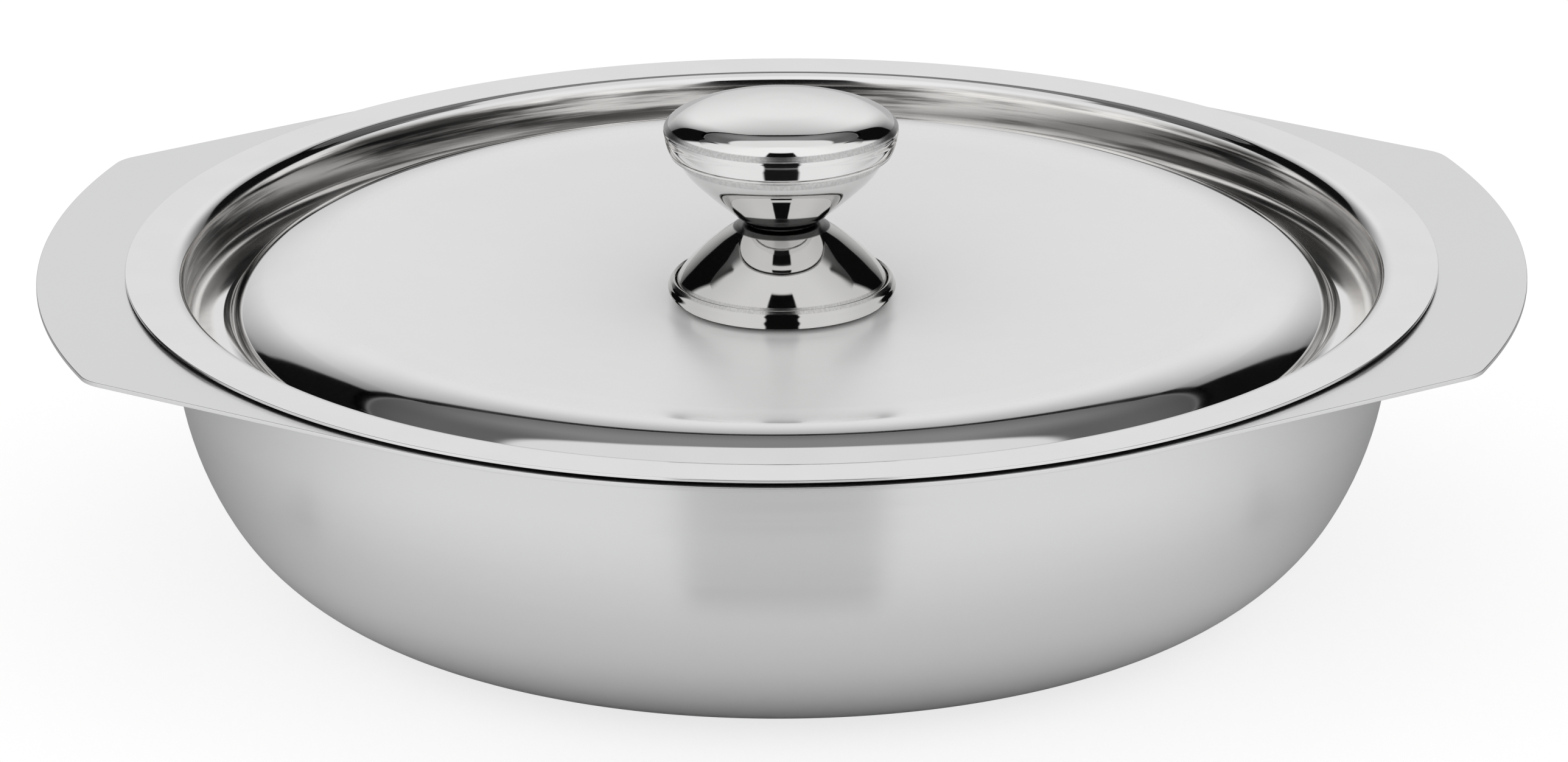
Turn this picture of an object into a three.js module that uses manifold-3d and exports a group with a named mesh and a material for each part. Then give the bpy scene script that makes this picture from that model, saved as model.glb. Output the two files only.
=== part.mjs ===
// Covered serving dish of pressed stainless steel: an open dish whose rim carries two flat handle lobes,
// and a drop-in lid with a hollow two-cone knob that is screwed on from below.
// Millimetres, +Z up. The origin is on the dish's axis, on the plane that the dish stands on.
import * as THREE from 'three';
import { mergeVertices } from 'three/addons/utils/BufferGeometryUtils.js';
import Module from 'manifold-3d';

const wasm = await Module();
wasm.setup();

const degree = Math.PI / 180;

// Dish: sheet, foot ring, bowl wall and rim, all sizes on its outside
const dishSheet = 0.8;
const rimTop = 59.5;
const recessDepth = 1;
const recessRadius = 56;
const recessSlope = 20 * degree;
const recessBend = 3;
const footFlatRadius = 70.4;
const lowerBendRadius = 38;
const lowerBendAngle = 59.5 * degree;
const upperBendRadius = 58.1;
const rimBend = 2.2;
const rimWidth = 10;

// Handle lobes, one piece with the rim
const lobeLength = 14.9;
const lobeEndRadius = 170;
const lobeShoulderAngle = 56.3 * degree;
const lobeCornerRadius = 8;
const plateOverlap = 2;

// Lid: sheet, flange, well, raised shoulder and slightly dished centre panel, sizes on its top face
const lidSheet = 0.6;
const lidSeatGap = 0.4;
const lidSideClearance = 0.6;
const lidRimMargin = 1.2;
const lidFlangeBend = 3;
const wellWallLean = 4 * degree;
const wellFootBend = 2.2;
const gutterInnerBend = 2;
const gutterWidth = 4;
const crestDrop = 1.4;
const crestBend = 29;
const crestBendAngle = 18.5 * degree;
const shoulderBend = 10;
const shoulderAngle = 68 * degree;
const panelSlope = 6.1 * degree;
const panelOuterBend = 80;
const panelInnerBend = 20;
const panelSeatRadius = 21.5;
const lidHoleRadius = 2.9;

// Knob: thin shells around a screw stack, heights above the lid's seat
const knobSheet = 0.6;
const knobSeatGap = 0.3;
const knobJointGap = 0.3;
const baseRadius = 20.8;
const baseBulgeHeight = 2.2;
const baseBulgeSag = 0.45;
const baseFloorRadius = 19;
const baseLipHeight = 4.25;
const baseLipRadius = 20.05;
const baseHoleRadius = 5.4;
const footEdgeRadius = 19.8;
const footEdgeLift = 1.8;
const footSag = 1.4;
const waistRadius = 7.4;
const waistHeight = 14.9;
const neckRadius = 6.3;
const neckRounding = 0.5;
const cupSag = 1.5;
const cupEdgeRadius = 19.5;
const cupEdgeHeight = 29.6;
const capSkirtLap = 1.2;
const capSkirtSag = 0.25;
const capEquatorRadius = 21.45;
const capEquatorHeight = 32.6;
const capCrownHeight = 37.4;

// Screw stack inside the knob and under the lid
const spacerRadius = 5;
const spacerBoreRadius = 2.9;
const insertRadius = 4.6;
const insertHeight = 11;
const insertCollarRadius = 6.2;
const insertCollarHeight = 1.6;
const threadRadius = 2.5;
const threadClearance = 0.3;
const screwReach = 8;
const screwHeadRadius = 4.6;
const screwHeadHeight = 2.8;
const screwHeadBend = 1.2;
const driveWidth = 1.1;
const driveLength = 5.6;
const driveDepth = 1.4;
const washerRadius = 8;
const washerSheet = 1.2;
const springRadius = 4.8;
const springSheet = 1.3;
const springSplit = 1;
const springSplitLean = 25 * degree;
const stackGap = 0.3;

// Facets
const roundFacets = 48;
const knobFacets = 28;
const smallFacets = 16;
const facetAngle = 12 * degree;
const tightFacetAngle = 22 * degree;
const cutOverrun = 1;

// Finishes
const mirrorSteel = { color: 0xc9c9c8, roughness: 0.08, metalness: 1 };
const satinSteel = { color: 0xbcbcbb, roughness: 0.28, metalness: 1 };
const plainSteel = { color: 0xa9aaab, roughness: 0.4, metalness: 1 };

// A sheet's face seen in section, walked outwards as straights and bends.
// Each point keeps the heading, so that the sheet's other face is a true offset of this one.
class SheetPath {
  constructor(radius, height, heading = 0) {
    this.at = { radius, height, heading };
    this.points = [{ ...this.at }];
  }

  straight(length) {
    const { radius, height, heading } = this.at;
    this.at = {
      radius: radius + length * Math.cos(heading),
      height: height + length * Math.sin(heading),
      heading,
    };
    this.points.push({ ...this.at });
    return this;
  }

  // A positive angle bends up, a negative one bends down.
  bend(bendRadius, angle, step = facetAngle) {
    const turn = Math.sign(angle);
    const steps = Math.max(2, Math.ceil(Math.abs(angle) / step));
    const start = this.at;
    const centreRadius = start.radius - turn * bendRadius * Math.sin(start.heading);
    const centreHeight = start.height + turn * bendRadius * Math.cos(start.heading);
    for (let i = 1; i <= steps; i += 1) {
      const heading = start.heading + (angle * i) / steps;
      this.points.push({
        radius: centreRadius + turn * bendRadius * Math.sin(heading),
        height: centreHeight - turn * bendRadius * Math.cos(heading),
        heading,
      });
    }
    this.at = { ...this.points[this.points.length - 1] };
    return this;
  }

  // The face at a distance above the walked one, or below it for a negative distance.
  offset(distance) {
    return this.points.map(({ radius, height, heading }) => [
      radius - distance * Math.sin(heading),
      height + distance * Math.cos(heading),
    ]);
  }

  walked() {
    return this.offset(0);
  }
}

// Turns a section about the axis. The section runs anticlockwise, with the radius to the right and up as up.
function turned(section, facets) {
  const onAxis = section[0][0] === 0;
  const loop = onAxis ? section : [...section, section[0]];
  const points = loop.map(([radius, height]) => new THREE.Vector2(Math.max(radius, 0), height));
  return new THREE.LatheGeometry(points, facets).rotateX(Math.PI / 2).rotateZ(Math.PI / 2);
}

function solid(geometry) {
  const bare = geometry.index ? geometry.clone() : geometry;
  bare.deleteAttribute('normal');
  bare.deleteAttribute('uv');
  const merged = mergeVertices(bare, 1e-4);
  return new wasm.Manifold(new wasm.Mesh({
    numProp: 3,
    vertProperties: new Float32Array(merged.attributes.position.array),
    triVerts: new Uint32Array(merged.index.array),
  }));
}

function geometryOf(manifold) {
  const mesh = manifold.getMesh();
  const geometry = new THREE.BufferGeometry();
  geometry.setAttribute('position', new THREE.BufferAttribute(mesh.vertProperties, 3));
  geometry.setIndex(new THREE.BufferAttribute(mesh.triVerts, 1));
  geometry.computeVertexNormals();
  return geometry;
}

function piece(name, geometry, finish) {
  const mesh = new THREE.Mesh(geometry, new THREE.MeshStandardMaterial(finish));
  mesh.name = name;
  return mesh;
}

// An arc from one section point to another that stands off its chord by a sag, to the right of the way it runs.
function saggedArc(from, to, sag, steps) {
  const chord = Math.hypot(to[0] - from[0], to[1] - from[1]);
  const along = [(to[0] - from[0]) / chord, (to[1] - from[1]) / chord];
  const radius = (chord * chord) / (8 * sag) + sag / 2;
  const half = Math.asin(chord / 2 / radius);
  return Array.from({ length: steps + 1 }, (_, i) => {
    const angle = -half + (2 * half * i) / steps;
    const run = chord / 2 + radius * Math.sin(angle);
    const off = radius * Math.cos(angle) - radius * Math.cos(half);
    return [
      from[0] + along[0] * run + along[1] * off,
      from[1] + along[1] * run - along[0] * off,
    ];
  });
}

// The section points of a shell wall, moved by a distance to the left of the way they run.
function movedLeft(points, distance) {
  return points.map(([radius, height], i) => {
    const before = points[Math.max(i - 1, 0)];
    const after = points[Math.min(i + 1, points.length - 1)];
    const length = Math.hypot(after[0] - before[0], after[1] - before[1]);
    return [
      radius - (distance * (after[1] - before[1])) / length,
      height + (distance * (after[0] - before[0])) / length,
    ];
  });
}

// Dish
const dishWallRadius = footFlatRadius
  + lowerBendRadius * Math.sin(lowerBendAngle)
  + upperBendRadius * (1 - Math.sin(lowerBendAngle));
const dishInnerRadius = dishWallRadius - dishSheet;
const rimFlatRadius = dishWallRadius + rimBend;
const rimRadius = dishWallRadius + rimWidth;
const lobeReach = rimRadius + lobeLength;

function dishPath() {
  const bendDrop = recessBend * (1 - Math.cos(recessSlope));
  const slopeLength = (recessDepth - 2 * bendDrop) / Math.sin(recessSlope);
  const path = new SheetPath(0, recessDepth);
  path.straight(recessRadius);
  path.bend(recessBend, -recessSlope);
  path.straight(slopeLength);
  path.bend(recessBend, recessSlope);
  path.straight(footFlatRadius - path.at.radius);
  path.bend(lowerBendRadius, lowerBendAngle);
  path.bend(upperBendRadius, Math.PI / 2 - lowerBendAngle);
  path.straight(rimTop - dishSheet - rimBend - path.at.height);
  path.bend(rimBend, -Math.PI / 2, tightFacetAngle);
  path.straight(plateOverlap);
  return path;
}

// The rim seen from above: a round stretch front and back, straight shoulders tangent to it, and curved ends.
function rimOutline() {
  const normal = new THREE.Vector2(Math.cos(lobeShoulderAngle), Math.sin(lobeShoulderAngle));
  const endCentre = lobeReach - lobeEndRadius;
  const innerEnd = lobeEndRadius - lobeCornerRadius;
  // The corner's centre lies inside the shoulder line and inside the end arc by the corner radius.
  const inset = rimRadius - lobeCornerRadius;
  const along = new THREE.Vector2(normal.y, -normal.x);
  const foot = normal.clone().multiplyScalar(inset);
  const toFoot = foot.clone().sub(new THREE.Vector2(endCentre, 0));
  const half = toFoot.dot(along);
  const reach = -half + Math.sqrt(half * half - toFoot.lengthSq() + innerEnd * innerEnd);
  const corner = foot.clone().add(along.clone().multiplyScalar(reach));
  const endAngle = Math.atan2(corner.y, corner.x - endCentre);
  const shape = new THREE.Shape();
  shape.absarc(endCentre, 0, lobeEndRadius, -endAngle, endAngle, false);
  shape.absarc(corner.x, corner.y, lobeCornerRadius, endAngle, lobeShoulderAngle, false);
  shape.absarc(0, 0, rimRadius, lobeShoulderAngle, Math.PI - lobeShoulderAngle, false);
  shape.absarc(-corner.x, corner.y, lobeCornerRadius, Math.PI - lobeShoulderAngle, Math.PI - endAngle, false);
  shape.absarc(-endCentre, 0, lobeEndRadius, Math.PI - endAngle, Math.PI + endAngle, false);
  shape.absarc(-corner.x, -corner.y, lobeCornerRadius, Math.PI + endAngle, Math.PI + lobeShoulderAngle, false);
  shape.absarc(0, 0, rimRadius, Math.PI + lobeShoulderAngle, 2 * Math.PI - lobeShoulderAngle, false);
  shape.absarc(corner.x, -corner.y, lobeCornerRadius, -lobeShoulderAngle, -endAngle, false);
  return shape;
}

function dish() {
  const path = dishPath();
  const bowl = solid(turned([...path.walked(), ...path.offset(dishSheet).reverse()], roundFacets));
  const outline = rimOutline();
  const opening = new THREE.Path();
  opening.absarc(0, 0, rimFlatRadius + plateOverlap / 2, 0, 2 * Math.PI, false);
  outline.holes.push(opening);
  const plate = new THREE.ExtrudeGeometry(outline, {
    depth: dishSheet,
    bevelEnabled: false,
    curveSegments: 12,
  }).translate(0, 0, rimTop - dishSheet);
  return piece('dish', geometryOf(bowl.add(solid(plate))), satinSteel);
}

// Lid
const lidTop = rimTop + lidSeatGap + lidSheet;
const lidRadius = rimRadius - lidRimMargin;

// How far a bend between two headings reaches outwards, and how far it drops.
function bendSpan(bendRadius, from, to) {
  return {
    run: bendRadius * Math.abs(Math.sin(to) - Math.sin(from)),
    drop: bendRadius * Math.abs(Math.cos(to) - Math.cos(from)),
  };
}

// The lid's bends are laid out from the dish's wall inwards, so that the well always fits the dish.
const wallAngle = Math.PI / 2 - wellWallLean;
const crestSpan = bendSpan(crestBend, 0, crestBendAngle);
const shoulderSpan = bendSpan(shoulderBend, crestBendAngle, shoulderAngle);
const gutterInnerSpan = bendSpan(gutterInnerBend, shoulderAngle, 0);
const wellFootSpan = bendSpan(wellFootBend, 0, wallAngle);
const flangeSpan = bendSpan(lidFlangeBend, wallAngle, 0);
const panelOuterSpan = bendSpan(panelOuterBend, panelSlope, 0);
const panelInnerSpan = bendSpan(panelInnerBend, 0, panelSlope);
const gutterDrop = crestDrop + crestSpan.drop + shoulderSpan.drop + gutterInnerSpan.drop;
const wallRise = gutterDrop - wellFootSpan.drop - flangeSpan.drop;
const wallTopRadius = dishInnerRadius - lidSideClearance - lidSheet;
const gutterOuterRadius = wallTopRadius - wallRise / Math.tan(wallAngle) - wellFootSpan.run;
const gutterInnerRadius = gutterOuterRadius - gutterWidth;
const crestRadius = gutterInnerRadius - gutterInnerSpan.run - shoulderSpan.run - crestSpan.run;
const panelRun = crestRadius - panelOuterSpan.run - panelInnerSpan.run - panelSeatRadius;
const panelRise = panelRun * Math.tan(panelSlope) + panelOuterSpan.drop + panelInnerSpan.drop;
const seatTop = lidTop - crestDrop - panelRise;

function lidPath() {
  const path = new SheetPath(lidHoleRadius, seatTop);
  path.straight(panelSeatRadius - lidHoleRadius);
  path.bend(panelInnerBend, panelSlope);
  path.straight(panelRun / Math.cos(panelSlope));
  path.bend(panelOuterBend, -panelSlope);
  path.bend(crestBend, -crestBendAngle, crestBendAngle / 2);
  path.bend(shoulderBend, crestBendAngle - shoulderAngle);
  path.bend(gutterInnerBend, shoulderAngle, tightFacetAngle);
  path.straight(gutterWidth);
  path.bend(wellFootBend, wallAngle, tightFacetAngle);
  path.straight(wallRise / Math.sin(wallAngle));
  path.bend(lidFlangeBend, -wallAngle, tightFacetAngle);
  path.straight(lidRadius - path.at.radius);
  return path;
}

function lidShell() {
  const path = lidPath();
  const section = [...path.offset(-lidSheet), ...path.walked().reverse()];
  return piece('lid_shell', turned(section, roundFacets), mirrorSteel);
}

// Knob, drawn in heights above the lid's seat
const baseFloor = knobSeatGap;
const footBottom = baseFloor + knobSheet + footEdgeLift;

// The closing pan at the knob's bottom, whose rounded side wraps the foot's edge
function knobBase() {
  const bulge = [baseRadius, baseBulgeHeight];
  const lip = [baseLipRadius, baseLipHeight];
  const outside = [
    ...saggedArc([baseFloorRadius, baseFloor], bulge, baseBulgeSag, 3),
    ...saggedArc(bulge, lip, baseBulgeSag / 2, 2).slice(1),
  ];
  const inside = movedLeft(outside, knobSheet);
  const floorEdge = [baseFloorRadius - knobSheet / 2, baseFloor + knobSheet];
  const lining = inside.filter(([, height]) => height > floorEdge[1]).reverse();
  const section = [
    [baseHoleRadius, baseFloor],
    ...outside,
    ...lining,
    floorEdge,
    [baseHoleRadius, baseFloor + knobSheet],
  ];
  return piece('knob_base', turned(section, knobFacets), mirrorSteel);
}

// The bell-shaped lower shell, from its wide edge in the base up to the neck
function knobFoot() {
  const waist = [waistRadius, waistHeight - neckRounding];
  const outside = [
    ...saggedArc([footEdgeRadius, footBottom], waist, footSag, 4),
    [neckRadius, waistHeight],
  ];
  const inside = movedLeft(outside, knobSheet);
  return piece('knob_foot', turned([...outside, ...inside.reverse()], knobFacets), mirrorSteel);
}

const cupBottom = waistHeight + knobJointGap;

// The cup-shaped upper shell, closed at the neck except for the screw's hole
function knobCup() {
  const waist = [waistRadius, cupBottom + neckRounding];
  const wall = [
    [neckRadius, cupBottom],
    ...saggedArc(waist, [cupEdgeRadius, cupEdgeHeight], cupSag, 5),
  ];
  const inside = movedLeft(wall, knobSheet);
  const floor = cupBottom + knobSheet;
  const bore = threadRadius + threadClearance;
  const lining = inside.filter(([, height]) => height > floor).reverse();
  const section = [[bore, cupBottom], ...wall, ...lining, [insertCollarRadius, floor], [bore, floor]];
  return piece('knob_cup', turned(section, knobFacets), mirrorSteel);
}

// The crown that closes the cup: a low dome with a full equator and a short skirt over the cup's edge
function knobCap() {
  const skirtBottom = cupEdgeHeight - capSkirtLap;
  const skirtRadius = cupEdgeRadius + knobJointGap + knobSheet;
  const skirt = saggedArc([skirtRadius - knobSheet / 2, skirtBottom], [capEquatorRadius, capEquatorHeight], capSkirtSag, 3);
  const crownHeight = capCrownHeight - capEquatorHeight;
  const crownSteps = 6;
  const crown = Array.from({ length: crownSteps }, (_, i) => {
    const angle = (Math.PI / 2) * ((i + 1) / crownSteps);
    const last = i + 1 === crownSteps;
    return [
      last ? 0 : capEquatorRadius * Math.cos(angle),
      capEquatorHeight + crownHeight * Math.sin(angle),
    ];
  });
  const outside = [...skirt, ...crown];
  const inside = movedLeft(outside, knobSheet);
  inside[inside.length - 1] = [0, capCrownHeight - knobSheet];
  const section = [...inside.reverse(), ...outside];
  return piece('knob_cap', turned(section, knobFacets), mirrorSteel);
}

// The sleeve that carries the screw's load from the lid up to the cup, through the foot
function spacerTube() {
  const bottom = knobSeatGap;
  const section = [
    [spacerBoreRadius, bottom],
    [spacerRadius, bottom],
    [spacerRadius, waistHeight],
    [spacerBoreRadius, waistHeight],
  ];
  return piece('spacer_tube', turned(section, smallFacets), plainSteel);
}

// The threaded boss on the cup's floor, with a collar that spreads the pull
function threadedInsert() {
  const bottom = cupBottom + knobSheet + stackGap;
  const bore = threadRadius + threadClearance;
  const section = [
    [bore, bottom],
    [insertCollarRadius - stackGap, bottom],
    [insertCollarRadius - stackGap, bottom + insertCollarHeight],
    [insertRadius, bottom + insertCollarHeight],
    [insertRadius, bottom + insertHeight],
    [bore, bottom + insertHeight],
  ];
  return piece('threaded_insert', turned(section, smallFacets), plainSteel);
}

// Fasteners below the lid, as heights under its bottom face
const washerTop = -lidSheet - stackGap;
const springTop = washerTop - washerSheet - stackGap;
const headTop = springTop - springSheet - stackGap;

function plainWasher() {
  const section = [
    [threadRadius + threadClearance, washerTop - washerSheet],
    [washerRadius, washerTop - washerSheet],
    [washerRadius, washerTop],
    [threadRadius + threadClearance, washerTop],
  ];
  return piece('plain_washer', turned(section, smallFacets), plainSteel);
}

function springWasher() {
  const section = [
    [threadRadius + threadClearance, springTop - springSheet],
    [springRadius, springTop - springSheet],
    [springRadius, springTop],
    [threadRadius + threadClearance, springTop],
  ];
  const slot = new THREE.BoxGeometry(springRadius + cutOverrun, springSplit, 2 * springRadius)
    .translate((springRadius + cutOverrun) / 2, 0, 0)
    .rotateX(springSplitLean)
    .translate(0, 0, springTop - springSheet / 2);
  return piece('spring_washer', geometryOf(solid(turned(section, smallFacets)).subtract(solid(slot))), plainSteel);
}

function knobScrew() {
  const tip = cupBottom + knobSheet + screwReach;
  const headBottom = headTop - screwHeadHeight;
  const section = [
    [0, headBottom],
    [screwHeadRadius - screwHeadBend, headBottom],
    [screwHeadRadius, headBottom + screwHeadBend],
    [screwHeadRadius, headTop],
    [threadRadius, headTop],
    [threadRadius, tip - threadRadius / 2],
    [threadRadius / 2, tip],
    [0, tip],
  ];
  const bar = new THREE.BoxGeometry(driveLength, driveWidth, 2 * driveDepth).translate(0, 0, headBottom);
  const cross = bar.clone().rotateZ(Math.PI / 2);
  const body = solid(turned(section, smallFacets)).subtract(solid(bar)).subtract(solid(cross));
  return piece('knob_screw', geometryOf(body), plainSteel);
}

const knob = new THREE.Group();
knob.add(
  knobBase(),
  knobFoot(),
  knobCup(),
  knobCap(),
  spacerTube(),
  threadedInsert(),
  plainWasher(),
  springWasher(),
  knobScrew(),
);
knob.position.z = seatTop;

const lid = new THREE.Group();
lid.add(lidShell(), knob);

const coveredDish = new THREE.Group();
coveredDish.add(dish(), lid);

export default coveredDish;
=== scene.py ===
"""Covered serving dish of polished stainless steel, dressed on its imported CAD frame.

A section is a list of points (radius, height, normal out, normal up) in millimetres.
"""

import math

import bpy
from mathutils import Matrix, Vector


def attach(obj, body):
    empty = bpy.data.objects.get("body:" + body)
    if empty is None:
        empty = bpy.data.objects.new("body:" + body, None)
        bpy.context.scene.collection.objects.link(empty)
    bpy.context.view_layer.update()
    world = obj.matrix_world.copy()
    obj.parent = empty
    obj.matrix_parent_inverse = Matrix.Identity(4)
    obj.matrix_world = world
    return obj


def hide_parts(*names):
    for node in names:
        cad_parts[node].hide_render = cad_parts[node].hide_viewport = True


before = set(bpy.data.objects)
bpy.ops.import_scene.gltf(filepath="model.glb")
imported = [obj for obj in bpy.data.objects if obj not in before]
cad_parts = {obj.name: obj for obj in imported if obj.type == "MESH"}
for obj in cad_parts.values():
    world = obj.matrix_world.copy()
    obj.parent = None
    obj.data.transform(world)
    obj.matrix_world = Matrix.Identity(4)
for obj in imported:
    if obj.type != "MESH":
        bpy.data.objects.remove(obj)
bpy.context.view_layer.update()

MM = 0.001
TINY = 1e-6
FULL_TURN = 2 * math.pi
HALF_TURN = math.pi
QUARTER_TURN = math.pi / 2

# Dish
DISH_SHEET = 0.8
RIM_TOP = 59.5
RECESS_DEPTH = 1.0
RECESS_RADIUS = 56.0
RECESS_SLOPE = math.radians(20)
RECESS_BEND = 3.0
FOOT_FLAT_RADIUS = 70.4
LOWER_BEND_RADIUS = 38.0
LOWER_BEND_ANGLE = math.radians(59.5)
UPPER_BEND_RADIUS = 58.1
RIM_BEND = 2.2
RIM_WIDTH = 10.0
DISH_RADIUS = (
    FOOT_FLAT_RADIUS
    + LOWER_BEND_RADIUS * math.sin(LOWER_BEND_ANGLE)
    + UPPER_BEND_RADIUS * (1 - math.sin(LOWER_BEND_ANGLE))
)
RIM_RADIUS = DISH_RADIUS + RIM_WIDTH
LOBE_LENGTH = 14.9
LOBE_REACH = RIM_RADIUS + LOBE_LENGTH
LOBE_END_RADIUS = 170.0
LOBE_SHOULDER_ANGLE = math.radians(56.3)
LOBE_CORNER_RADIUS = 8.0
EDGE_ROUNDING = 0.16

# Lid
LID_SHEET = 0.6
LID_SEAT_GAP = 0.4
LID_TOP = RIM_TOP + LID_SEAT_GAP + LID_SHEET
LID_SIDE_CLEARANCE = 0.6
LID_RIM_MARGIN = 1.2
LID_RADIUS = RIM_RADIUS - LID_RIM_MARGIN
LID_FLANGE_BEND = 3.0
WELL_WALL_ANGLE = math.radians(86)
WELL_FOOT_BEND = 2.2
GUTTER_INNER_BEND = 2.0
GUTTER_WIDTH = 4.0
CREST_DROP = 1.4
CREST_BEND = 29.0
CREST_BEND_ANGLE = math.radians(18.5)
SHOULDER_BEND = 10.0
SHOULDER_ANGLE = math.radians(68)
PANEL_SLOPE = math.radians(6.1)
PANEL_OUTER_BEND = 80.0
PANEL_INNER_BEND = 20.0
PANEL_SEAT_RADIUS = 21.5
LID_HOLE_RADIUS = 2.9

# Knob: smooth curves through points of radius and height above the lid's seat
KNOB_SHEET = 0.6
BASE_HOLE_RADIUS = 5.4
CUP_BORE = 2.8
KNOB_BASE_CURVE = (
    (BASE_HOLE_RADIUS, 0.3), (12.0, 0.3), (18.2, 0.33), (19.9, 0.95),
    (20.8, 2.2), (20.65, 3.3), (20.05, 4.25),
)
KNOB_FOOT_CURVE = (
    (19.8, 2.7), (19.05, 4.3), (17.35, 6.6), (14.5, 9.55),
    (11.0, 12.5), (8.4, 14.3), (7.4, 14.75), (6.3, 14.9),
)
KNOB_CUP_CURVE = (
    (CUP_BORE, 15.2), (5.6, 15.2), (6.6, 15.3), (7.7, 15.95), (11.1, 18.75),
    (14.45, 21.75), (17.3, 24.7), (19.0, 27.4), (19.5, 29.6),
)
KNOB_CAP_CURVE = (
    (20.4, 28.4), (20.85, 29.5), (21.25, 31.1), (21.45, 32.6), (21.12, 33.43),
    (19.44, 34.63), (15.17, 35.99), (9.07, 36.95), (3.73, 37.33), (0.0, 37.4),
)

# Bent shading. The mesh keeps its true section and only the shading directions turn.
# Shoulder: tilt in degrees, and the tilt that it is shaded with
SHOULDER_SHADING = ((0, 0), (20, 20), (50, 35), (68, 60))
# Knob's base and head: height above the seat, and the extra upward turn in degrees
BASE_SHADING = (
    (0.3, 95), (0.95, 82), (1.6, 62), (2.2, 44),
    (2.75, 22), (3.3, 6), (3.6, 0), (4.25, 0),
)
CAP_SHADING = (
    (28.4, 25), (29.5, 21), (31.1, 17), (32.6, 6), (33.43, -10),
    (34.63, -24), (35.4, -9), (35.99, 0), (37.4, 0),
)
# Faces whose normal points down by more than this keep their shading
UNDERSIDE_UP = -0.9

# Fineness
CHORD_STEP = math.radians(2.5)
PANEL_STEP = math.radians(0.5)
CREST_STEP = math.radians(1)
TIGHT_STEP = math.radians(6)
RIM_STEP = math.radians(9)
LEAST_BEND_STEPS = 4
EDGE_STEPS = 4
SHELL_EDGE_STEPS = 3
KNOB_CURVE_STEPS = 8
ROUND_COLUMNS = 360
KNOB_COLUMNS = 192
CORNER_COLUMNS = 14
CORNER_SPREAD = math.radians(2.5)
CORNER_CLEARANCE = math.radians(0.12)
CORNER_SEARCH_STEPS = 900


class SheetPath:
    """One face of a bent sheet in section, walked outwards as straights and bends."""

    def __init__(self, radius, height, heading=0.0):
        self.radius, self.height, self.heading = radius, height, heading
        self.points = [(radius, height, heading)]

    def _add(self, radius, height, heading):
        self.radius, self.height, self.heading = radius, height, heading
        self.points.append((radius, height, heading))

    def straight(self, length, steps=1):
        start_radius, start_height = self.radius, self.height
        for i in range(1, steps + 1):
            along = length * i / steps
            self._add(
                start_radius + along * math.cos(self.heading),
                start_height + along * math.sin(self.heading),
                self.heading,
            )

    def bend(self, bend_radius, angle, step=CHORD_STEP):
        turn = math.copysign(1, angle)
        start = self.heading
        centre_radius = self.radius - turn * bend_radius * math.sin(start)
        centre_height = self.height + turn * bend_radius * math.cos(start)
        steps = max(LEAST_BEND_STEPS, math.ceil(abs(angle) / step))
        for i in range(1, steps + 1):
            heading = start + angle * i / steps
            self._add(
                centre_radius + turn * bend_radius * math.sin(heading),
                centre_height - turn * bend_radius * math.cos(heading),
                heading,
            )

    def face(self, distance, side):
        """The section's points at a distance above the walked face."""
        return [
            (
                r - distance * math.sin(h),
                z + distance * math.cos(h),
                -side * math.sin(h),
                side * math.cos(h),
            )
            for r, z, h in self.points
        ]


def rounded_end(radius, height, heading, low, high, rounding, steps=EDGE_STEPS):
    """The sheet's cut edge between its low and its high face, with both corners rounded."""
    along = (math.cos(heading), math.sin(heading))
    up = (-math.sin(heading), math.cos(heading))
    points = []
    for centre, start in ((low + rounding, -QUARTER_TURN), (high - rounding, 0.0)):
        for i in range(steps + 1):
            angle = start + QUARTER_TURN * i / steps
            out = [math.cos(angle) * a + math.sin(angle) * u for a, u in zip(along, up)]
            points.append(
                (
                    radius + centre * up[0] + rounding * out[0],
                    height + centre * up[1] + rounding * out[1],
                    out[0],
                    out[1],
                )
            )
    return points[1:-1]


def smooth_curve(controls, steps):
    """Points and headings of a smooth curve through the control points."""
    padded = [controls[0], *controls, controls[-1]]
    points = []
    for i in range(len(controls) - 1):
        before, start, end, after = (Vector(p) for p in padded[i:i + 4])
        into = (end - before) / 2 if i else end - start
        out = (after - start) / 2 if i < len(controls) - 2 else end - start
        for j in range(steps + (i == len(controls) - 2)):
            t = j / steps
            at = (
                start * (2 * t**3 - 3 * t**2 + 1)
                + into * (t**3 - 2 * t**2 + t)
                + end * (3 * t**2 - 2 * t**3)
                + out * (t**3 - t**2)
            )
            slope = (
                start * (6 * t**2 - 6 * t)
                + into * (3 * t**2 - 4 * t + 1)
                + end * (6 * t - 6 * t**2)
                + out * (3 * t**2 - 2 * t)
            )
            points.append((at.x, at.y, math.atan2(slope.y, slope.x)))
    return points


LOBE_END_CENTRE = LOBE_REACH - LOBE_END_RADIUS
SHOULDER_NORMAL = Vector((math.cos(LOBE_SHOULDER_ANGLE), math.sin(LOBE_SHOULDER_ANGLE)))


def lobe_corner():
    """Centre of the round corner between a lobe's end and its straight shoulder."""
    along = Vector((SHOULDER_NORMAL.y, -SHOULDER_NORMAL.x))
    foot = SHOULDER_NORMAL * (RIM_RADIUS - LOBE_CORNER_RADIUS)
    to_foot = foot - Vector((LOBE_END_CENTRE, 0))
    half = to_foot.dot(along)
    inner_end = LOBE_END_RADIUS - LOBE_CORNER_RADIUS
    reach = math.sqrt(half**2 - to_foot.length_squared + inner_end**2)
    return foot + along * (-half + reach)


LOBE_CORNER = lobe_corner()


def outline_on_arc(direction, centre, radius):
    """Where a line from the axis meets an arc of the rim's outline, and how the edge faces."""
    b = direction.dot(centre)
    reach = b + math.sqrt(b * b - centre.length_squared + radius * radius)
    out = direction * reach - centre
    return reach, math.atan2(out.y, out.x)


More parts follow.
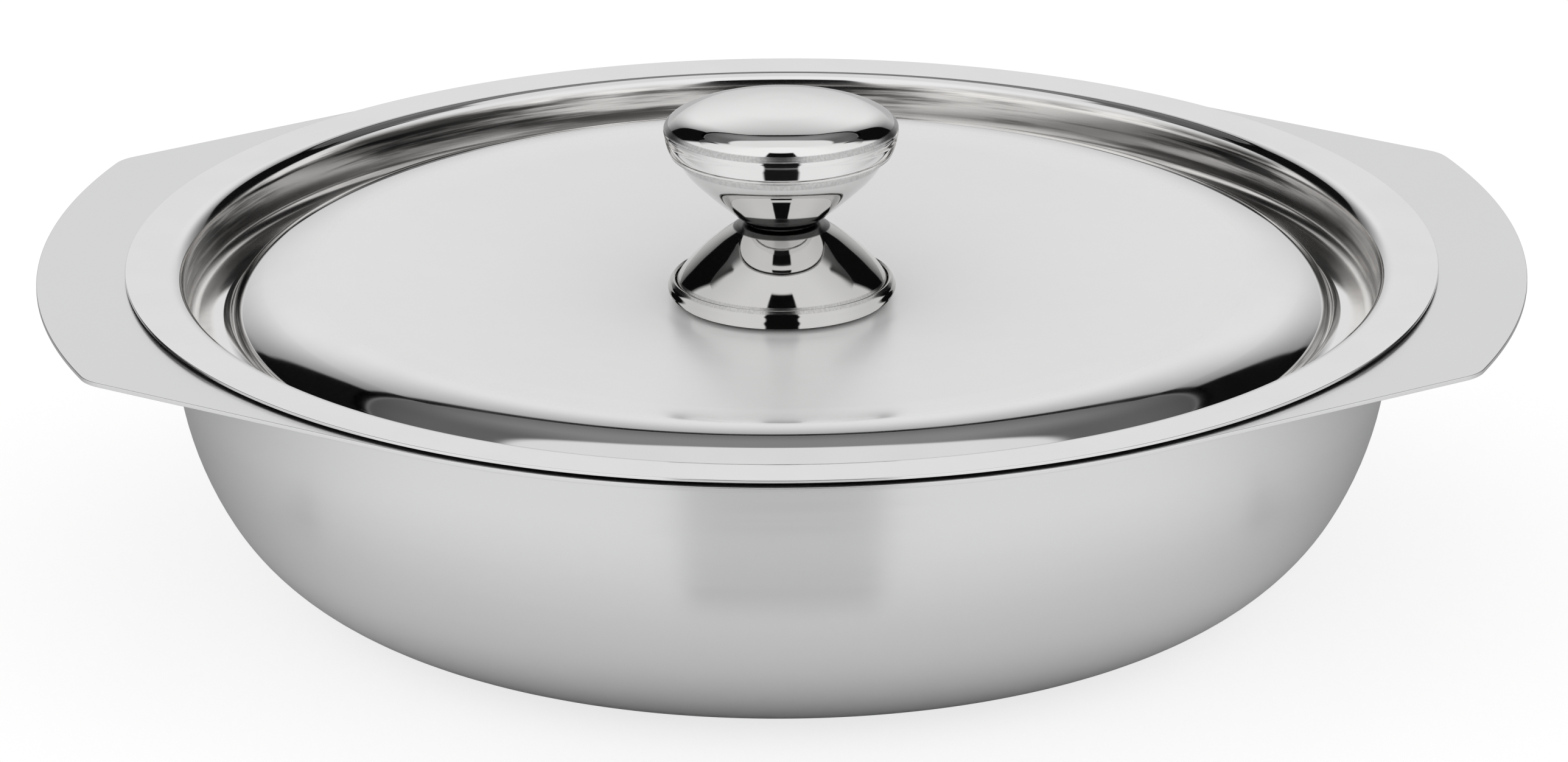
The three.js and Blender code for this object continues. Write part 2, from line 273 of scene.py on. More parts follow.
def reach_at(angle):
    """The rim's reach at an angle about the axis, and the direction that its edge faces."""
    folded = abs((angle + HALF_TURN) % FULL_TURN - HALF_TURN)
    mirrored = folded > QUARTER_TURN
    a = HALF_TURN - folded if mirrored else folded
    end_normal = math.atan2(LOBE_CORNER.y, LOBE_CORNER.x - LOBE_END_CENTRE)
    end_side = Vector((math.cos(end_normal), math.sin(end_normal)))
    first = LOBE_CORNER + LOBE_CORNER_RADIUS * end_side
    last = LOBE_CORNER + LOBE_CORNER_RADIUS * SHOULDER_NORMAL
    direction = Vector((math.cos(a), math.sin(a)))
    if a >= LOBE_SHOULDER_ANGLE:
        reach, facing = RIM_RADIUS, a
    elif a >= math.atan2(last.y, last.x):
        reach, facing = RIM_RADIUS / math.cos(a - LOBE_SHOULDER_ANGLE), LOBE_SHOULDER_ANGLE
    elif a >= math.atan2(first.y, first.x):
        reach, facing = outline_on_arc(direction, LOBE_CORNER, LOBE_CORNER_RADIUS)
    else:
        reach, facing = outline_on_arc(direction, Vector((LOBE_END_CENTRE, 0)), LOBE_END_RADIUS)
    facing = HALF_TURN - facing if mirrored else facing
    return reach, facing if math.sin(angle) >= 0 else -facing


def corner_angle():
    """The angle about the axis at which the rim reaches furthest."""
    angles = [QUARTER_TURN * i / CORNER_SEARCH_STEPS for i in range(CORNER_SEARCH_STEPS)]
    return max(angles, key=lambda a: reach_at(a)[0])


def ring_faces(rings, closed):
    """Faces between each ring and the next, as triangles where a ring is one point."""
    pairs = list(zip(rings, rings[1:])) + ([(rings[-1], rings[0])] if closed else [])
    faces = []
    for low, high in pairs:
        for i in range(len(low)):
            j = (i + 1) % len(low)
            corners = list(dict.fromkeys((low[i], low[j], high[j], high[i])))
            if len(corners) > 2:
                faces.append(corners)
    return faces


def swept(name, section, columns, outline=None):
    """A closed section turned about the axis. Points with a share follow the outline's reach."""
    rings, normals, verts = [], [], []
    for radius, height, out, up, *share in section:
        share = share[0] if share else 0.0
        if radius < TINY:
            rings.append([len(verts)] * len(columns))
            verts.append((0, 0, height * MM))
            normals.append((0, 0, math.copysign(1, up)))
            continue
        ring = []
        for angle in columns:
            reach, facing = outline(angle) if outline and share else (RIM_RADIUS, angle)
            r = radius + share * (reach - RIM_RADIUS)
            ring.append(len(verts))
            verts.append((r * MM * math.cos(angle), r * MM * math.sin(angle), height * MM))
            normals.append((out * math.cos(facing), out * math.sin(facing), up))
        rings.append(ring)
    closed = section[0][0] >= TINY or section[-1][0] >= TINY
    mesh = bpy.data.meshes.new(name)
    mesh.from_pydata(verts, [], ring_faces(rings, closed))
    mesh.polygons.foreach_set("use_smooth", [True] * len(mesh.polygons))
    mesh.normals_split_custom_set_from_vertices([Vector(n).normalized() for n in normals])
    mesh.update()
    obj = bpy.data.objects.new(name, mesh)
    bpy.context.scene.collection.objects.link(obj)
    return obj


def even_columns(count):
    """Angles about the axis, evenly spaced."""
    return [FULL_TURN * i / count for i in range(count)]


def rim_columns():
    """Even columns, with extra ones where the lobes' corners are."""
    corner = corner_angle()
    corners = (corner, HALF_TURN - corner, HALF_TURN + corner, FULL_TURN - corner)
    extra = [
        centre + CORNER_SPREAD * (2 * i / CORNER_COLUMNS - 1)
        for centre in corners
        for i in range(CORNER_COLUMNS + 1)
    ]
    even = [
        a for a in even_columns(ROUND_COLUMNS)
        if all(abs(a - e) > CORNER_CLEARANCE for e in extra)
    ]
    return sorted(even + extra)


def dish_path():
    """The dish's outer face, from the middle of its recess out to the rim's bend."""
    bend_drop = RECESS_BEND * (1 - math.cos(RECESS_SLOPE))
    slope_length = (RECESS_DEPTH - 2 * bend_drop) / math.sin(RECESS_SLOPE)
    path = SheetPath(0.0, RECESS_DEPTH)
    path.straight(RECESS_RADIUS, steps=12)
    path.bend(RECESS_BEND, -RECESS_SLOPE)
    path.straight(slope_length)
    path.bend(RECESS_BEND, RECESS_SLOPE)
    path.straight(FOOT_FLAT_RADIUS - path.radius, steps=3)
    path.bend(LOWER_BEND_RADIUS, LOWER_BEND_ANGLE)
    path.bend(UPPER_BEND_RADIUS, QUARTER_TURN - LOWER_BEND_ANGLE)
    path.straight(RIM_TOP - DISH_SHEET - RIM_BEND - path.height, steps=3)
    path.bend(RIM_BEND, -QUARTER_TURN, RIM_STEP)
    return path


def dish_section():
    """The dish's section, with each point's share in the reach of the lobes."""
    path = dish_path()
    first = len(path.points)
    start = path.radius
    end = RIM_RADIUS - EDGE_ROUNDING
    path.straight(end - start, steps=8)
    shares = [0.0] * first + [(p[0] - start) / (end - start) for p in path.points[first:]]
    outside = [(*p, s) for p, s in zip(path.face(0, -1), shares)]
    inside = [(*p, s) for p, s in zip(path.face(DISH_SHEET, 1), shares)]
    edge = rounded_end(end, path.height, path.heading, 0, DISH_SHEET, EDGE_ROUNDING)
    return outside + [(*p, 1.0) for p in edge] + inside[::-1]


def bend_span(bend, start, end):
    """How far a bend between two headings runs outwards, and how far it drops or rises."""
    run = bend * abs(math.sin(end) - math.sin(start))
    drop = bend * abs(math.cos(end) - math.cos(start))
    return run, drop


def well_layout():
    """The rise of the well's straight wall, and the radius of the crest's top."""
    crest_run, crest_drop = bend_span(CREST_BEND, 0, CREST_BEND_ANGLE)
    shoulder_run, shoulder_drop = bend_span(SHOULDER_BEND, CREST_BEND_ANGLE, SHOULDER_ANGLE)
    gutter_run, gutter_drop = bend_span(GUTTER_INNER_BEND, SHOULDER_ANGLE, 0)
    foot_run, foot_drop = bend_span(WELL_FOOT_BEND, 0, WELL_WALL_ANGLE)
    flange_drop = bend_span(LID_FLANGE_BEND, WELL_WALL_ANGLE, 0)[1]
    depth = CREST_DROP + crest_drop + shoulder_drop + gutter_drop
    wall_rise = depth - foot_drop - flange_drop
    wall_top_radius = DISH_RADIUS - DISH_SHEET - LID_SIDE_CLEARANCE - LID_SHEET
    gutter_outer = wall_top_radius - wall_rise / math.tan(WELL_WALL_ANGLE) - foot_run
    crest_radius = gutter_outer - GUTTER_WIDTH - gutter_run - shoulder_run - crest_run
    return wall_rise, crest_radius


def panel_layout(crest_radius):
    """The run of the panel's straight slope, and the rise from the seat to the crest's top."""
    outer_run, outer_drop = bend_span(PANEL_OUTER_BEND, PANEL_SLOPE, 0)
    inner_run, inner_drop = bend_span(PANEL_INNER_BEND, 0, PANEL_SLOPE)
    slope_run = crest_radius - outer_run - inner_run - PANEL_SEAT_RADIUS
    rise = slope_run * math.tan(PANEL_SLOPE) + outer_drop + inner_drop
    return slope_run, rise


def lid_path():
    """The lid's top face, from the screw's hole out to the flange's edge."""
    wall_rise, crest_radius = well_layout()
    slope_run, panel_rise = panel_layout(crest_radius)
    path = SheetPath(LID_HOLE_RADIUS, LID_TOP - CREST_DROP - panel_rise)
    path.straight(PANEL_SEAT_RADIUS - LID_HOLE_RADIUS, steps=3)
    path.bend(PANEL_INNER_BEND, PANEL_SLOPE, CREST_STEP)
    path.straight(slope_run / math.cos(PANEL_SLOPE), steps=8)
    path.bend(PANEL_OUTER_BEND, -PANEL_SLOPE, PANEL_STEP)
    path.bend(CREST_BEND, -CREST_BEND_ANGLE, CREST_STEP)
    path.bend(SHOULDER_BEND, CREST_BEND_ANGLE - SHOULDER_ANGLE)
    path.bend(GUTTER_INNER_BEND, SHOULDER_ANGLE, TIGHT_STEP)
    path.straight(GUTTER_WIDTH, steps=3)
    path.bend(WELL_FOOT_BEND, WELL_WALL_ANGLE, TIGHT_STEP)
    path.straight(wall_rise / math.sin(WELL_WALL_ANGLE), steps=4)
    path.bend(LID_FLANGE_BEND, -WELL_WALL_ANGLE, TIGHT_STEP)
    path.straight(LID_RADIUS - EDGE_ROUNDING - path.radius, steps=5)
    return path


LID_PATH = lid_path()
SEAT_TOP = LID_PATH.points[0][1]


def between(pairs, at):
    """The value at a place on a line of places and values."""
    for (low, first), (high, last) in zip(pairs, pairs[1:]):
        if at <= high:
            return first + (last - first) * max(0.0, at - low) / (high - low)
    return pairs[-1][1]


def shoulder_shaded(face):
    """The lid's top face, with the tilt of its shoulder shaded by the table."""
    result = []
    for radius, height, out, up in face:
        tilt = math.degrees(math.atan2(out, up))
        if tilt > 0:
            tilt = math.radians(between(SHOULDER_SHADING, tilt))
            out, up = math.sin(tilt), math.cos(tilt)
        result.append((radius, height, out, up))
    return result


def turned(section, shading):
    """A section whose outer faces are shaded as if turned up by the degrees at their height."""
    result = []
    for radius, height, out, up in section:
        outer = out > 0 and up > UNDERSIDE_UP
        turn = math.radians(between(shading, height)) if outer else 0.0
        turned_out = out * math.cos(turn) - up * math.sin(turn)
        turned_up = out * math.sin(turn) + up * math.cos(turn)
        result.append((radius, height, turned_out, turned_up))
    return result


def lid_section():
    """Underside, cut edge and top face of the lid."""
    end = LID_PATH.points[-1]
    underside = LID_PATH.face(-LID_SHEET, -1)
    edge = rounded_end(*end, -LID_SHEET, 0, EDGE_ROUNDING)
    top = shoulder_shaded(LID_PATH.face(0, 1))
    return underside + edge + top[::-1]


def shell_section(curve, sheet):
    """A thin shell with half-round cut edges. The curve walks with the outside on its right."""
    outside = [(r, z, math.sin(h), -math.cos(h)) for r, z, h in curve]
    inside = [
        (max(r - sheet * math.sin(h), 0.0), z + sheet * math.cos(h), -math.sin(h), math.cos(h))
        for r, z, h in curve
    ]
    section = outside
    if curve[-1][0] > TINY:
        section = section + rounded_end(*curve[-1], 0, sheet, EDGE_ROUNDING, SHELL_EDGE_STEPS)
    section = section + inside[::-1]
    if curve[0][0] > TINY:
        r, z, h = curve[0]
        back = h + HALF_TURN
        section = section + rounded_end(r, z, back, -sheet, 0, EDGE_ROUNDING, SHELL_EDGE_STEPS)
    return section


def lifted(section):
    """Knob sections are drawn above the lid's seat."""
    return [(r, z + SEAT_TOP, *rest) for r, z, *rest in section]


def knob_piece(name, controls, node, shading=None):
    """A thin shell of the knob, turned from its curve."""
    curve = smooth_curve(controls, KNOB_CURVE_STEPS)
    if controls[-1][0] == 0:
        curve[-1] = (0.0, controls[-1][1], HALF_TURN)
    section = shell_section(curve, KNOB_SHEET)
    if shading:
        section = turned(section, shading)
    obj = swept(name, lifted(section), even_columns(KNOB_COLUMNS))
    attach(obj, "lid")
    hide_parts(node)
    return obj


BLACK = (0, 0, 0, 1)
WHITE = (1, 1, 1, 1)
NOISE_MIDDLE = (0.3, 0.7)
GRAIN_DETAIL = 5


class NodeTree:
    """Short names for making and joining shader nodes."""

    def __init__(self, owner):
        owner.use_nodes = True
        self.tree = owner.node_tree
        self.nodes = self.tree.nodes

    def put(self, socket, value):
        if isinstance(value, bpy.types.NodeSocket):
            self.tree.links.new(value, socket)
        else:
            socket.default_value = value

    def math(self, operation, *values):
        node = self.nodes.new("ShaderNodeMath")
        node.operation = operation
        for socket, value in zip(node.inputs, values):
            self.put(socket, value)
        return node.outputs[0]

    def ramp(self, value, low, high, start=0.0, end=1.0, smooth=True):
        """start below low, end above high, and a soft step between them."""
        node = self.nodes.new("ShaderNodeMapRange")
        node.interpolation_type = "SMOOTHSTEP" if smooth else "LINEAR"
        names = ("Value", "From Min", "From Max", "To Min", "To Max")
        for name, item in zip(names, (value, low, high, start, end)):
            self.put(node.inputs[name], item)
        return node.outputs["Result"]

    def past(self, value, edge, low, high):
        """1 where the value is past the edge, with a soft step from low to high about it."""
        return self.ramp(self.math("SUBTRACT", value, edge), low, high)

    def varied(self, noise, start, end):
        """start to end, spread over the middle part of a noise."""
        return self.ramp(noise, *NOISE_MIDDLE, start, end)

    def mix(self, factor, a, b, kind="FLOAT"):
        node = self.nodes.new("ShaderNodeMix")
        node.data_type = kind
        sockets = [i for i in node.inputs if i.enabled]
        for socket, value in zip(sockets, (factor, a, b)):
            self.put(socket, value)
        return [o for o in node.outputs if o.enabled][0]

    def toned(self, tone, colour):
        """Black at tone 0, the colour at tone 1."""
        return self.mix(tone, BLACK, colour, "RGBA")

    def both(self, *masks):
        result = masks[0]
        for mask in masks[1:]:
            result = self.math("MULTIPLY", result, mask)
        return result

    def noise(self, vector, scale, detail=4.0, roughness=0.5):
        node = self.nodes.new("ShaderNodeTexNoise")
        names = ("Vector", "Scale", "Detail", "Roughness")
        for name, value in zip(names, (vector, scale, detail, roughness)):
            self.put(node.inputs[name], value)
        return node.outputs["Fac"]

    def scaled(self, vector, factors):
        node = self.nodes.new("ShaderNodeVectorMath")
        node.operation = "MULTIPLY"
        self.put(node.inputs[0], vector)
        self.put(node.inputs[1], factors)
        return node.outputs[0]

    def place(self):
        return self.nodes.new("ShaderNodeTexCoord").outputs["Object"]

    def parts(self, vector):
        node = self.nodes.new("ShaderNodeSeparateXYZ")
        self.put(node.inputs[0], vector)
        return node.outputs

    def from_axis(self, vector):
        """Distance from the axis of a place on the object."""
        x, y, _ = self.parts(vector)
        squares = [self.math("MULTIPLY", side, side) for side in (x, y)]
        return self.math("SQRT", self.math("ADD", *squares))

    def from_back(self, x, y):
        """Degrees round from the back to either side, 180 in front."""
        return self.math("DEGREES", self.math("ARCTAN2", self.math("ABSOLUTE", x), y))

    def seen(self, light):
        """1 for rays that the camera sends, also through glass."""
        rays = ("Is Camera Ray", "Is Transmission Ray")
        return self.math("MAXIMUM", *[light.outputs[ray] for ray in rays])


def new_steel(name):
    """A new metal material, with its nodes and its shader's sockets."""
    material = bpy.data.materials.new(name)
    tree = NodeTree(material)
    sockets = tree.nodes["Principled BSDF"].inputs
    sockets["Metallic"].default_value = 1.0
    return material, tree, sockets


DULL_SHARE = 0.97


def steel(name, colour, polish, polish_spread, grain_scale, stretch=(1, 1, 1)):
    """Polished steel whose tone and polish vary softly and finely over the surface."""
    material, tree, sockets = new_steel(name)
    grain = tree.noise(tree.scaled(tree.place(), stretch), grain_scale, GRAIN_DETAIL)
    dull = (*[c * DULL_SHARE for c in colour], 1)
    tree.put(sockets["Base Color"], tree.mix(grain, dull, (*colour, 1), "RGBA"))
    finest, coarsest = polish - polish_spread, polish + polish_spread
    tree.put(sockets["Roughness"], tree.varied(grain, finest, coarsest))
    return material


# Lid's steel. Places are in metres from the axis or above the ground
PANEL_END = (0.078, 0.0915)
WALL_START = (0.1035, 0.105)
WALL_TOP = (0.0585, 0.0595)
WALL_FOOT = (0.050, 0.056)
LID_GRAIN_SCALE = 80
# Painted shade on the well's wall: dark streaks and patches of noise, lighter towards its foot
STREAK_STRETCH = (22, 22, 700)
STREAK_DETAIL, STREAK_ROUGHNESS, STREAK_SHARE = 6, 0.6, 0.6
PATCH_STRETCH = (26, 26, 60)
PATCH_DETAIL, PATCH_SHARE = 2, 0.4
WALL_SHADE_RANGE = (0.39, 0.57)
WALL_SHADE_TONES = (0.05, 0.86)
WALL_TONE = 0.86
FOOT_CLEAR_SHARE = 0.6
WALL_WARMTH = (1, 0.975, 0.95, 1)
MIRROR_TONES = (0.815, 0.835)
PANEL_TONES = (0.815, 0.825)
PANEL_METALLIC = 0.12
MIRROR_SOFTNESS, PANEL_SOFTNESS, WALL_SOFTNESS = 0.06, 0.25, 0.2
SOFTNESS_SPREAD = 0.01


def wall_shade_tone(tree, place, height):
    """Tone of the well's wall: painted shade in dark streaks and patches, that fades out towards
    its foot.
    """
    streaks = tree.noise(
        tree.scaled(place, STREAK_STRETCH), 1, STREAK_DETAIL, STREAK_ROUGHNESS
    )
    patches = tree.noise(tree.scaled(place, PATCH_STRETCH), 1, PATCH_DETAIL)
    streaked_shade = tree.math(
        "ADD",
        tree.math("MULTIPLY", streaks, STREAK_SHARE),
        tree.math("MULTIPLY", patches, PATCH_SHARE),
    )
    clear = tree.ramp(height, *WALL_FOOT, FOOT_CLEAR_SHARE, 0)
    return tree.mix(clear, tree.ramp(streaked_shade, *WALL_SHADE_RANGE, *WALL_SHADE_TONES), WALL_TONE)


def lid_steel():
    """Mirror steel with a satin centre panel, and painted shade in streaks and patches on the
    well's wall.
    """
    material, tree, sockets = new_steel("lid_steel")
    place = tree.place()
    radius, height = tree.from_axis(place), tree.parts(place)[2]
    grain = tree.noise(place, LID_GRAIN_SCALE, GRAIN_DETAIL)
    panel = tree.ramp(radius, *PANEL_END, 1, 0)
    wall = tree.both(tree.ramp(radius, *WALL_START), tree.ramp(height, *WALL_TOP, 1, 0))
    tone = tree.mix(panel, tree.varied(grain, *MIRROR_TONES), tree.varied(grain, *PANEL_TONES))
    # On the wall of the well the tone is painted shade
    tone = tree.mix(wall, tone, wall_shade_tone(tree, place, height))
    tree.put(
        sockets["Base Color"],
        tree.toned(tone, tree.mix(wall, WHITE, WALL_WARMTH, "RGBA")),
    )
    tree.put(sockets["Metallic"], tree.mix(panel, 1.0, PANEL_METALLIC))
    softness = tree.mix(wall, tree.mix(panel, MIRROR_SOFTNESS, PANEL_SOFTNESS), WALL_SOFTNESS)
    fine = tree.varied(grain, -SOFTNESS_SPREAD, SOFTNESS_SPREAD)
    tree.put(sockets["Roughness"], tree.math("ADD", softness, fine))
    return material


# Knob's steel
KNOB_GRAIN_SCALE = 90
KNOB_TONES = (0.98, 1.0)
KNOB_SOFTNESS = (0.03, 0.06)
MARK_STRETCH = (1, 1, 0.08)
MARK_SCALE, MARK_DETAIL = 2600, 2
MARK_RANGE = (0.35, 0.65)
MARK_DARK, MARK_LIGHT = 0.92, 1.08
BAND_FADE = 0.1
BRIGHT_STEEL = (0.87, 0.868, 0.864)
DARK_STEEL = (0.62, 0.615, 0.605)

# Brushed bands, darker in tone: the heights above the seat where each begins and ends, tone and
# roughness
# The band on the head's rolled rim is simply darker.
# Their darker tone is painted shade where the pieces meet and under the head's skirt.
BASE_BANDS = ((3.7, 4.4, 0.85, 0.15),)
FOOT_BANDS = ((2.0, 4.5, 0.80, 0.2), (14.0, 15.2, 0.12, 0.2))
CUP_BANDS = ((15.0, 15.7, 0.12, 0.2), (26.9, 28.2, 0.80, 0.12), (28.2, 30.0, 0.45, 0.3))
CAP_BANDS = ((28.0, 28.75, 0.9, 0.2), (32.9, 33.9, 0.62, 0.24))


def knob_steel(name, colour, bands):
    """Mirror steel with brushed bands, whose darker tone is mostly painted shade between the
    pieces.
    """
    material, tree, sockets = new_steel(name)
    place = tree.place()
    height = tree.math("SUBTRACT", tree.math("DIVIDE", tree.parts(place)[2], MM), SEAT_TOP)
    marks = tree.noise(tree.scaled(place, MARK_STRETCH), MARK_SCALE, MARK_DETAIL)
    grain = tree.noise(place, KNOB_GRAIN_SCALE, GRAIN_DETAIL)
    tone = tree.varied(grain, *KNOB_TONES)
    roughness = tree.varied(grain, *KNOB_SOFTNESS)
    for low, high, band_tone, band_roughness in bands:
        inside = tree.both(
            tree.ramp(height, low - BAND_FADE, low + BAND_FADE),
            tree.ramp(height, high - BAND_FADE, high + BAND_FADE, 1, 0),
        )
        # Inside a band the tone drops: painted shade at the joints and under the skirt
        marked = tree.ramp(marks, *MARK_RANGE, band_tone * MARK_DARK, band_tone * MARK_LIGHT)
        tone = tree.mix(inside, tone, marked)
        roughness = tree.mix(inside, roughness, band_roughness)
    tree.put(sockets["Base Color"], tree.toned(tone, (*colour, 1)))
    tree.put(sockets["Roughness"], roughness)
    return material


def give(obj, material):
    """Dress a mesh in one material."""
    obj.data.materials.clear()
    obj.data.materials.append(material)


CAMERA_LENS = 270.17
CAMERA_SENSOR = 36.0
CAMERA_CLIP = (0.1, 20.0)
CAMERA_DISTANCE = 2160.0
CAMERA_TARGET = Vector((0.31, 0.0, 36.7))
CAMERA_PITCH = math.radians(19.325)
CAMERA_ROLL = math.radians(0.285)


def make_camera():
    """A long lens at the photograph's viewing angle."""
    data = bpy.data.cameras.new("camera")
    data.sensor_width = CAMERA_SENSOR
    data.lens = CAMERA_LENS
    data.clip_start, data.clip_end = CAMERA_CLIP
    forward = Vector((0, math.cos(CAMERA_PITCH), -math.sin(CAMERA_PITCH)))
    up = Vector((0, math.sin(CAMERA_PITCH), math.cos(CAMERA_PITCH)))
    right = Vector((1, 0, 0))
    rolled_right = math.cos(CAMERA_ROLL) * right - math.sin(CAMERA_ROLL) * up
    rolled_up = math.sin(CAMERA_ROLL) * right + math.cos(CAMERA_ROLL) * up
    place = (CAMERA_TARGET - CAMERA_DISTANCE * forward) * MM
    turn = Matrix((rolled_right, rolled_up, -forward)).transposed().to_4x4()
    camera = bpy.data.objects.new("camera", data)
    camera.matrix_world = Matrix.Translation(place) @ turn
    bpy.context.scene.collection.objects.link(camera)
    bpy.context.scene.camera = camera


dish = swept("dish_shell", dish_section(), rim_columns(), reach_at)
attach(dish, "dish")
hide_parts("dish")

lid = swept("lid_panel", lid_section(), even_columns(ROUND_COLUMNS))
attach(lid, "lid")
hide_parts("lid_shell")

knob = [
    knob_piece("base_ring", KNOB_BASE_CURVE, "knob_base", BASE_SHADING),
    knob_piece("foot_bell", KNOB_FOOT_CURVE, "knob_foot"),
    knob_piece("head_cup", KNOB_CUP_CURVE, "knob_cup"),
    knob_piece("head_cap", KNOB_CAP_CURVE, "knob_cap", CAP_SHADING),
]

satin = steel(
    "satin_steel", colour=(0.785, 0.785, 0.788), polish=0.22, polish_spread=0.02,
    grain_scale=16, stretch=(1, 1, 36),
)
plain = steel(
    "plain_steel", colour=(0.66, 0.665, 0.67), polish=0.35, polish_spread=0.05,
    grain_scale=400,
)
give(dish, satin)
give(lid, lid_steel())
knob_finish = (
    knob_steel("base_steel", DARK_STEEL, BASE_BANDS),
    knob_steel("foot_steel", DARK_STEEL, FOOT_BANDS),
    knob_steel("cup_steel", BRIGHT_STEEL, CUP_BANDS),
    knob_steel("cap_steel", BRIGHT_STEEL, CAP_BANDS),
)
for part, finish in zip(knob, knob_finish):
    give(part, finish)
for name in ("spacer_tube", "threaded_insert", "plain_washer", "spring_washer", "knob_screw"):
    give(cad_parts[name], plain)

make_camera()

# Light tent. Each tuple is a stretch in degrees, and where it has four numbers, the values
# before and after it. The degrees are of elevation, or round from the back (180 in front).
TENT_TONES = (70, 130, 0.82, 0.97)
UNLIT_TONE = 0.004
FLAG_OUTER = (-5, 50, 47.5, 78)
FLAG_OUTER_FADE = (-5, 1)
FLAG_TOP = (50, 78, 42, 51)
FLAG_TOP_FADE = (-1, 1)
CEILING_REAR = (60, 70, 42.5, 34)
CEILING_REAR_FADE = (0, 1)
CEILING_FRONT = (0, 20, 58.5, 60.5)
CEILING_FRONT_FADE = (-1.2, 1.2)
CEILING_SIDES = (66, 82, 1, 0)
CEILING_TONES = (10, 40, 0.26, 0.13)
CEILING_DIMMING = (38, 52, 0.5, 1.0)
REAR_EDGE_START = (40.5, 41)
REAR_EDGE_END = (42.7, 43.4, 1, 0)
REAR_EDGE_SIDES = (50, 56, 1, 0)
BACK_SIDES = (14, 38, 37.5, 29.5)
BACK_SIDES_FADE = (-1, 1)
BACK_TOP = (40.5, 41, 1, 0)
BACK_TONES = (25, 45, 0.88, 0.42)
BACK_LOW_DIMMING = (-4, 26, 0.72, 1.0)
BACK_SIDE_DIMMING = (12, 44, 1, 0.1)
SLOT_SIDES = (159, 162)
SLOT_TOP = (61, 64, 1, 0)
OPENING_START = (8, 10)
OPENING_END = (20.5, 22.5, 1, 0)
PLAIN_LEVEL = 0.9


def dark_flags(tree, elevation, from_back):
    """Mask of the flags beside the back light, wider towards the top."""
    outer = tree.ramp(elevation, *FLAG_OUTER, smooth=False)
    top = tree.ramp(from_back, *FLAG_TOP, smooth=False)
    return tree.both(
        tree.past(outer, from_back, *FLAG_OUTER_FADE),
        tree.past(top, elevation, *FLAG_TOP_FADE),
    )


def ceiling(tree, elevation, from_back):
    """Mask and tone of the unlit ceiling between the back light and the overhead light."""
    rear = tree.ramp(from_back, *CEILING_REAR)
    front = tree.ramp(from_back, *CEILING_FRONT)
    mask = tree.both(
        tree.past(elevation, rear, *CEILING_REAR_FADE),
        tree.past(front, elevation, *CEILING_FRONT_FADE),
        tree.ramp(from_back, *CEILING_SIDES),
    )
    tone = tree.both(
        tree.ramp(from_back, *CEILING_TONES),
        tree.ramp(elevation, *CEILING_DIMMING),
    )
    return mask, tone


def rear_edge(tree, elevation, from_back):
    """Mask of the black line along the ceiling's rear edge."""
    return tree.both(
        tree.ramp(elevation, *REAR_EDGE_START),
        tree.ramp(elevation, *REAR_EDGE_END),
        tree.ramp(from_back, *REAR_EDGE_SIDES),
    )


def back_light(tree, elevation, from_back):
    """Mask and tone of the back light, brightest in the middle."""
    sides = tree.ramp(elevation, *BACK_SIDES, smooth=False)
    mask = tree.both(
        tree.past(sides, from_back, *BACK_SIDES_FADE),
        tree.ramp(elevation, *BACK_TOP),
    )
    tone = tree.both(
        tree.ramp(elevation, *BACK_TONES),
        tree.ramp(elevation, *BACK_LOW_DIMMING),
        tree.ramp(from_back, *BACK_SIDE_DIMMING),
    )
    return mask, tone


def camera_slot(tree, elevation, from_back):
    """Mask of a dark strip in front, from the floor to high up, open round the camera."""
    opening = tree.both(
        tree.ramp(elevation, *OPENING_START),
        tree.ramp(elevation, *OPENING_END),
    )
    return tree.both(
        tree.ramp(from_back, *SLOT_SIDES),
        tree.ramp(elevation, *SLOT_TOP),
        tree.math("SUBTRACT", 1.0, opening),
    )


def studio_world():
    """White for the camera. Polished metal sees a light tent, by direction from the object."""
    world = bpy.data.worlds.new("studio")
    bpy.context.scene.world = world
    tree = NodeTree(world)
    background = tree.nodes["Background"]
    x, y, z = tree.parts(tree.nodes.new("ShaderNodeTexCoord").outputs["Generated"])
    elevation = tree.math("DEGREES", tree.math("ARCSINE", z))
    from_back = tree.from_back(x, y)

    tent = tree.ramp(from_back, *TENT_TONES)
    layers = (
        (dark_flags(tree, elevation, from_back), UNLIT_TONE),
        ceiling(tree, elevation, from_back),
        (rear_edge(tree, elevation, from_back), 0.0),
        back_light(tree, elevation, from_back),
        (camera_slot(tree, elevation, from_back), UNLIT_TONE),
    )
    for mask, tone in layers:
        tent = tree.mix(mask, tent, tone)

    light = tree.nodes.new("ShaderNodeLightPath")
    seen = tree.seen(light)
    mirrored = tree.math("MAXIMUM", light.outputs["Is Glossy Ray"], seen)
    level = tree.mix(mirrored, PLAIN_LEVEL, tent)
    tree.put(background.inputs["Strength"], tree.mix(seen, level, 1.0))
    background.inputs["Color"].default_value = WHITE


# Floor, in millimetres
FLOOR_HALF = 3000.0
FLOOR_SLOT_START = 53.0

# Floor as metal mirrors it, with painted shade: stretches in degrees round from the back (tones,
# BACK, FRONT and FLAG), in metres from the axis (FAR, CONTACT_SHADOW and NEAR) or across the
# slot (SIDES)
FLOOR_SIDE_TONES = (50, 130, 0.40, 0.97)
FLOOR_BACK = (35, 60, 1, 0)
FLOOR_BACK_TONE = 0.55
FLOOR_FAR = (0.30, 0.40)
# Painted contact shadow: the mirrored floor darker near the object
FLOOR_CONTACT_SHADOW = (0.070, 0.112, 0.58, 1.0)
# Painted reflection of the camera's slot, faint near the object and black further out
FLOOR_SLOT_SIDES = (0.30, 0.37, 1, 0)
FLOOR_SLOT_FRONT = (100, 110)
FLOOR_SLOT_NEAR = (0.125, 0.145)
FLOOR_SLOT_TONES = (0.75, 0.01)
# Painted black at the foot of the flags, far out
FLOOR_FLAG_START = (33, 37)
FLOOR_FLAG_END = (45, 49, 1, 0)
FLOOR_FLAG_TONE = 0.01
FLOOR_TONE = 0.30
FLOOR_GLOW = 0.76
FLOOR_ROUGHNESS = 0.8


